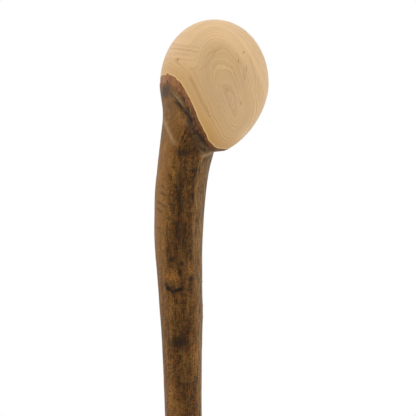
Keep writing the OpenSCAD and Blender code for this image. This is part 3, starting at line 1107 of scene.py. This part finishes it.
def lenticel_tree():
    """Small corky dashes scattered over the bark, lying across its grain."""
    tree, n, ins, outs = geometry_group("bark_lenticels", {
        "Count Per Square Metre": 5200.0,
        "Length": 0.0011,
        "Height": 0.00022,
        "Seed": 4,
    })
    clear = n.times(n.between(n.stored("from_edge"), 10.0, 26.0), n.stored("on_skin"))
    cloud = n.noise(n.stored("place", "FLOAT_VECTOR"), 0.035, detail=1.0)
    patch = n.times(clear, n.between(cloud, 0.45, 0.62))
    spots = {
        "Mesh": ins["Geometry"],
        "Density": n.times(patch, ins["Count Per Square Metre"]),
        "Seed": ins["Seed"],
    }
    scatter = n.add("GeometryNodeDistributePointsOnFaces", spots, distribute_method="RANDOM")
    normal = scatter.outputs["Normal"]
    dome = n.add("GeometryNodeMeshUVSphere", {"Segments": 8, "Rings": 5, "Radius": 1.0})
    across = n.vector("CROSS_PRODUCT", normal, (0, 0, 1))
    upright = n.add("FunctionNodeAlignRotationToVector", {"Vector": normal}, axis="Z")
    aim = {"Rotation": upright.outputs[0], "Vector": across}
    level = n.add("FunctionNodeAlignRotationToVector", aim, axis="X", pivot_axis="Z")
    sizes = {2: 0.55, 3: 1.3, "Seed": ins["Seed"]}
    size = n.add("FunctionNodeRandomValue", sizes, data_type="FLOAT").outputs[1]
    length = n.times(size, ins["Length"])
    copies = n.add("GeometryNodeInstanceOnPoints", {
        "Points": scatter.outputs[0],
        "Instance": dome.outputs[0],
        "Rotation": level.outputs[0],
        "Scale": n.combine(length, n.times(length, 0.42), ins["Height"]),
    })
    end_geometry(n, ins, outs, copies.outputs[0])
    return tree


TURNED_RING = lathe_tree()


def turned(name, outline, material, steps=128, copies=1, pitch=0.0):
    """A piece turned from a closed outline of radius and height, in millimetres."""
    mesh = bpy.data.meshes.new(name)
    mesh.from_pydata([(r * MM, 0, z * MM) for r, z in outline], [], [])
    return run_nodes(linked(name, mesh), TURNED_RING, {
        "Outline Points": len(outline),
        "Steps": steps,
        "Copies": copies,
        "Pitch": pitch * MM,
        "Material": material,
    })


def arc(cx, cz, r, start, end, steps):
    angles = np.radians(np.linspace(start, end, steps))
    return [(cx + r * math.cos(a), cz + r * math.sin(a)) for a in angles]


def make_ferrule(material):
    """Flared rubber cup: grooved tread, upright rim, flare up to the barrel, rounded lip, bore."""
    outline = [(0.0, 0.0)]
    tread_step = (base_r - tread_pad_r - tread_margin) / tread_grooves
    for j in range(tread_grooves):
        near = tread_pad_r + tread_step * j
        far = near + groove_w
        outline += [(near - fine_edge, 0.0), (near, fine_edge), (near + groove_draft, groove_depth)]
        outline += [(far - groove_draft, groove_depth), (far, fine_edge), (far + fine_edge, 0.0)]
    outline += arc(base_r - rim_edge_r, rim_edge_r, rim_edge_r, -90, 0, 6)
    outline += [(base_r, rim_h - 2 * fine_edge), (base_r - fine_edge, rim_h)]
    flare_w = base_r - rim_set_in - barrel_r
    for t in np.radians(np.linspace(8, 90, 12)):
        height = rim_h + flare_h * (1 - math.cos(t))
        outline.append((barrel_r + flare_w * (1 - math.sin(t)), height))
    outline += arc(barrel_r + lip_rise - lip_r, ferrule_top - lip_r, lip_r, -60, 90, 10)
    outline += [(bore_r + bore_edge, ferrule_top), (bore_r, ferrule_top - bore_edge)]
    washer_top = washer_bottom + washer_t
    outline += [(bore_r, washer_top), (washer_r, washer_top)]
    outline += [(washer_r, washer_bottom), (0.0, washer_bottom)]
    return turned("rubber_ferrule_cup", outline, material, steps=160)


def make_ribs(material):
    """Rounded rings round the ferrule's barrel."""
    middle = ferrule_top - rib_top - rib_step * (rib_count - 1) - rib_half_w
    inside = barrel_r - rib_sunk
    outline = [(inside, middle - rib_half_w)]
    outline += [(barrel_r + rib_rise * math.cos(a), middle + rib_half_w * math.sin(a))
                for a in np.linspace(-1.5, 1.5, 9)]
    outline.append((inside, middle + rib_half_w))
    return turned("rubber_ferrule_ribs", outline, material, copies=rib_count, pitch=rib_step)


def make_washer(material):
    low, high = washer_bottom, washer_bottom + washer_t
    inner, outer, edge = washer_hole_r, washer_r, fine_edge
    outline = [
        (inner + edge, low), (outer - edge, low), (outer, low + edge), (outer, high - edge),
        (outer - edge, high), (inner + edge, high), (inner, high - edge), (inner, low + edge),
    ]
    return turned("steel_ferrule_washer", outline, material)


rubber = moulded_rubber()
bark = varnished_bark()

timber = make_timber()
timber.data.materials.append(knob_wood())
inner_rim = make_inner_bark()
inner_rim.data.materials.append(inner_bark_material())
sleeve = make_outer_bark()
run_nodes(sleeve, relief_tree(), {"Seed": 3.0, "Material": bark})
lenticels = linked("bark_lenticels", sleeve.data.copy())
run_nodes(lenticels, lenticel_tree(), {"Seed": 4, "Material": bark})
cup = make_ferrule(rubber)
ribs = make_ribs(rubber)
washer = make_washer(zinc_plate())

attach(timber, "stick")
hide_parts("stick_timber")
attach(inner_rim, "stick")
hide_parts("inner_bark")
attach(sleeve, "stick")
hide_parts("outer_bark")
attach(lenticels, "stick")
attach(cup, "ferrule")
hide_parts("rubber_ferrule")
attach(ribs, "ferrule")
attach(washer, "ferrule")
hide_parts("steel_washer")


def make_floor():
    """Pale floor that turns white away from the stick, for the camera and for reflections."""
    half = 3.0
    mesh = bpy.data.meshes.new("studio_floor")
    corners = [(-half, -half, 0), (half, -half, 0), (half, half, 0), (-half, half, 0)]
    mesh.from_pydata(corners, [], [(0, 1, 2, 3)])
    floor = linked("studio_floor", mesh)
    material = bpy.data.materials.new("pale_floor")
    n = emptied(material)
    pale = n.add("ShaderNodeBsdfDiffuse", {"Color": rgb(240, 240, 240)})
    white = n.add("ShaderNodeEmission", {"Color": (1, 1, 1, 1), "Strength": 1.0})
    place = n.add("ShaderNodeTexCoord").outputs["Object"]
    away = n.add("ShaderNodeVectorMath", {0: place}, operation="LENGTH").outputs["Value"]
    fade = n.times(n.most(*n.rays()), n.between(away, 0.35, 1.3))
    both = n.add("ShaderNodeMixShader", {0: fade, 1: pale.outputs[0], 2: white.outputs[0]})
    n.add("ShaderNodeOutputMaterial", {"Surface": both.outputs[0]})
    floor.data.materials.append(material)


def make_world():
    """White studio: brightest round the sides and above. Its front is dim in reflections."""
    world = bpy.data.worlds.new("studio")
    bpy.context.scene.world = world
    n = emptied(world)
    _, y, z = n.split(n.add("ShaderNodeTexCoord").outputs["Generated"])
    camera, mirrored = n.rays()
    ring = n.minus(1.0, n.times(y, y))
    level = n.plus(n.slope(n.times(ring, ring), 0.26, 0.68), n.times(z, 0.18))
    mirror_level = n.minus(1.0, n.times(n.between(y, -0.1, -0.8), 0.8))
    seen = n.plus(n.times(mirrored, mirror_level), camera)
    unseen = n.minus(1.0, n.most(mirrored, camera))
    strength = n.plus(n.times(unseen, level), seen)
    sky = n.add("ShaderNodeBackground", {"Color": (1, 1, 1, 1), "Strength": strength})
    n.add("ShaderNodeOutputWorld", {"Surface": sky.outputs[0]})


LAMP_AIM = (0.0, 0.0, 0.8)
LAMP_WATTS = 3


def softbox(name, place, width, height):
    lamp = bpy.data.lights.new(name, "AREA")
    lamp.shape = "RECTANGLE"
    lamp.size = width
    lamp.size_y = height
    lamp.energy = LAMP_WATTS
    item = linked(name, lamp)
    item.location = place
    way = Vector([end - start for start, end in zip(place, LAMP_AIM)])
    item.rotation_euler = way.to_track_quat("-Z", "Y").to_euler()


def make_camera():
    """Long lens, level, square on to the photographed side, framing the photograph's height."""
    camera = bpy.data.cameras.new("camera")
    camera.lens = 500.0
    camera.sensor_width = 36.0
    camera.sensor_fit = "AUTO"
    camera.clip_end = 100
    distance = FRAME_PX * PIXEL * MM * camera.lens / camera.sensor_width
    middle = FRAME_PX / 2
    item = linked("camera", camera)
    item.location = (px_x(middle) * MM, -distance, px_z(middle) * MM)
    item.rotation_euler = (math.pi / 2, 0, 0)
    bpy.context.scene.camera = item


make_floor()
make_world()
softbox("left_softbox", (-1.5, 0.35, 1.0), 0.9, 1.8)
softbox("right_softbox", (1.2, 0.3, 1.9), 0.9, 1.8)
softbox("top_softbox", (0.1, -0.1, 2.3), 1.2, 1.2)
make_camera()
bpy.context.scene.view_settings.view_transform = "Standard"
